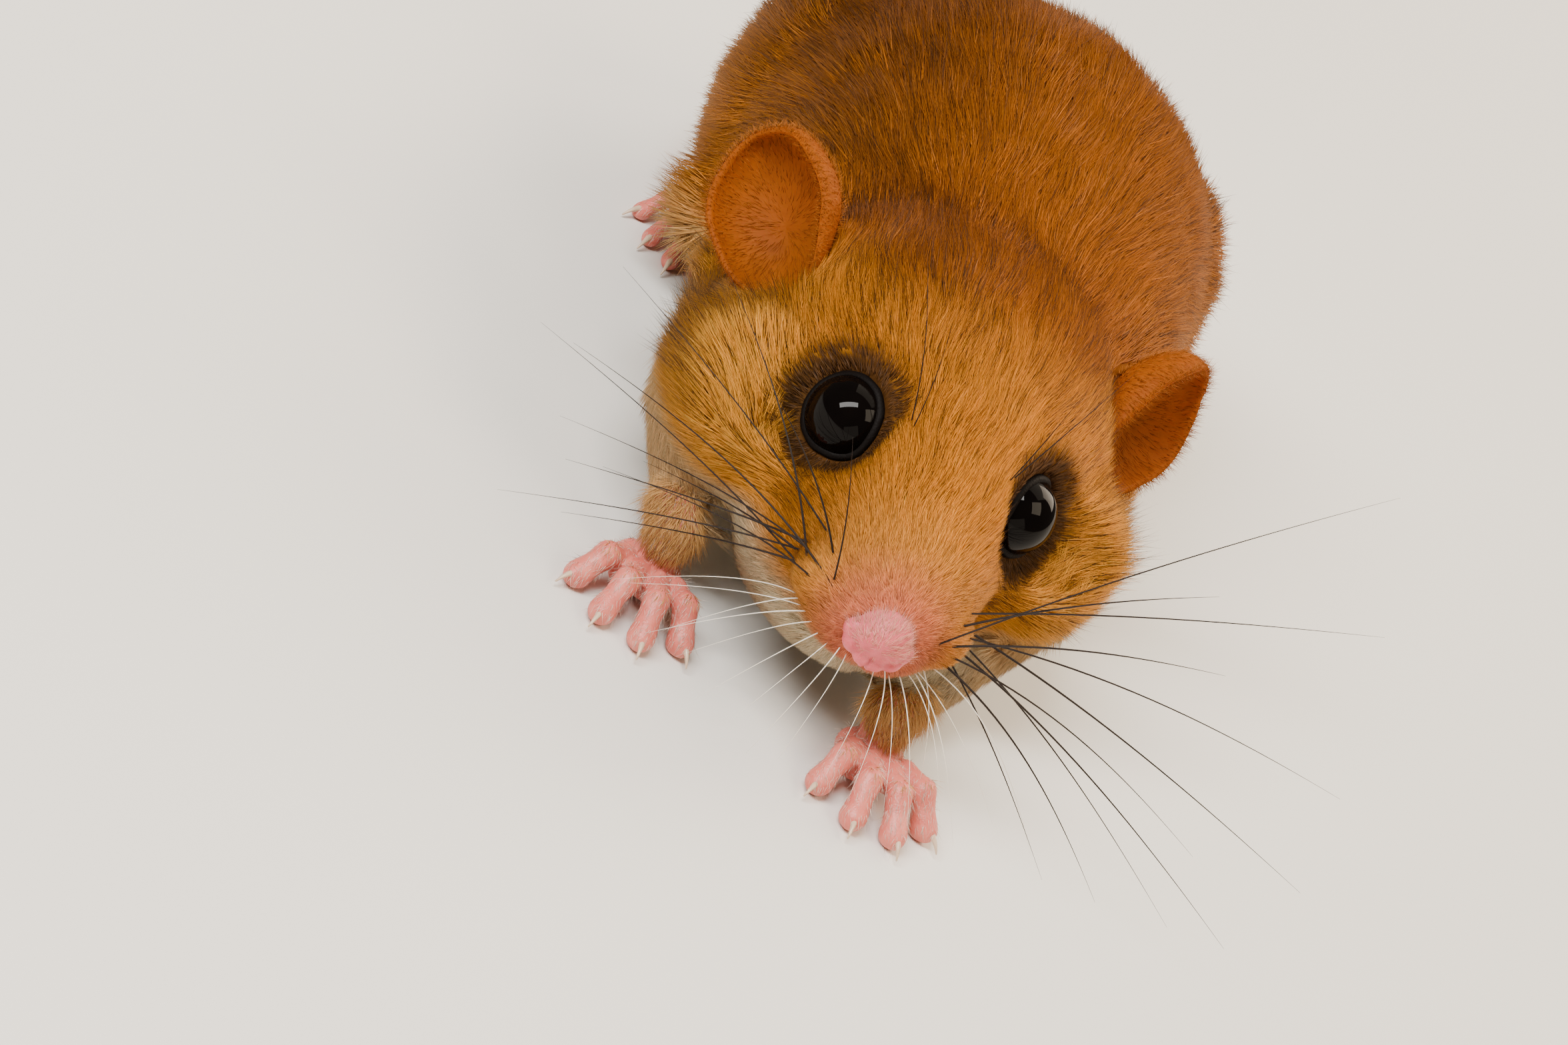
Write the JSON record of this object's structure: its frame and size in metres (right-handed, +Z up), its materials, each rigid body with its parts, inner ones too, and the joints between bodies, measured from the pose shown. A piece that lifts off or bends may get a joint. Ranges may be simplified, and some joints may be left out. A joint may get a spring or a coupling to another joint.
{
  "type": "hazel dormouse",
  "caption": "Life-size hazel dormouse crouching on four feet, head low and turned a little left, whiskers spread, furry tail laid on the floor behind",
  "frame": {"origin": "on the floor, in the middle of the whole animal's box", "axes": "+Z up, the animal looks along -Y and its left side is +X"},
  "size_m": [0.0592, 0.1246, 0.0279],
  "materials": {
    "golden_coat": "soft golden-orange fur, cream on throat and chin",
    "ear_skin": "thin orange-brown skin with fine down",
    "eye": "wet glossy black",
    "foot_skin": "bare pink skin with sparse white hairs",
    "whisker": "stiff smooth hairs, dark above and white below"
  },
  "bodies": {
    "root": {"head": "golden_coat", "neck": "golden_coat", "torso": "golden_coat", "foreleg_left": "golden_coat", "foreleg_right": "golden_coat", "hindleg_left": "golden_coat", "hindleg_right": "golden_coat", "tail_base": "golden_coat", "tail_middle": "golden_coat", "tail_tip": "golden_coat", "ear_left": "ear_skin", "ear_right": "ear_skin", "eye_left": "eye", "eye_right": "eye", "forefoot_left": "foot_skin", "forefoot_right": "foot_skin", "hindfoot_left": "foot_skin", "hindfoot_right": "foot_skin", "whiskers_left": "whisker", "whiskers_right": "whisker"}
  },
  "joints": []
}
